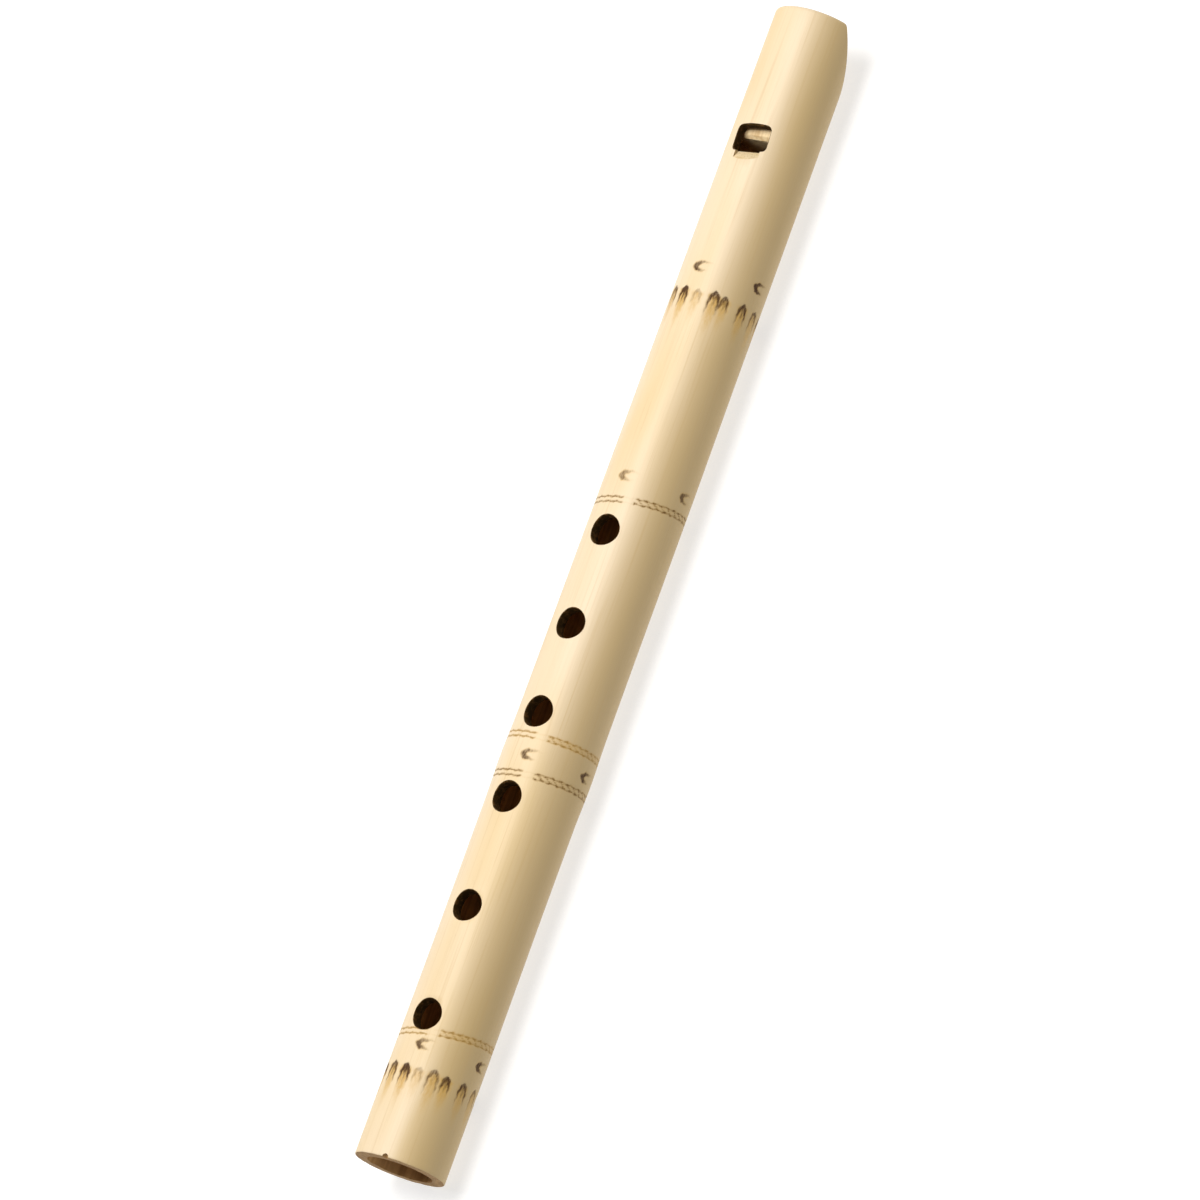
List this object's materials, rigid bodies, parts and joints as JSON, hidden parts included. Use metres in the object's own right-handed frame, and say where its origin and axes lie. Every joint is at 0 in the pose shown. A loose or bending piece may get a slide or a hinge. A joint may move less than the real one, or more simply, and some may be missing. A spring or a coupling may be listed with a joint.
{
  "type": "duct flute",
  "caption": "Slender cane duct flute with a row of finger holes, a sound window and a beak, burned with bands, crescents and flame rows.",
  "frame": {"origin": "below the middle of the flute, on the surface that it lies on", "axes": "+X along the flute to its mouth end, +Z out of the finger holes and the sound window"},
  "size_m": [0.3, 0.0228, 0.0228],
  "materials": {
    "cane": "smooth pale cane with burned ornament",
    "plug_wood": "plain cut wood"
  },
  "bodies": {
    "root": {"flute_tube": "cane", "fipple_block": "plug_wood"}
  },
  "joints": []
}
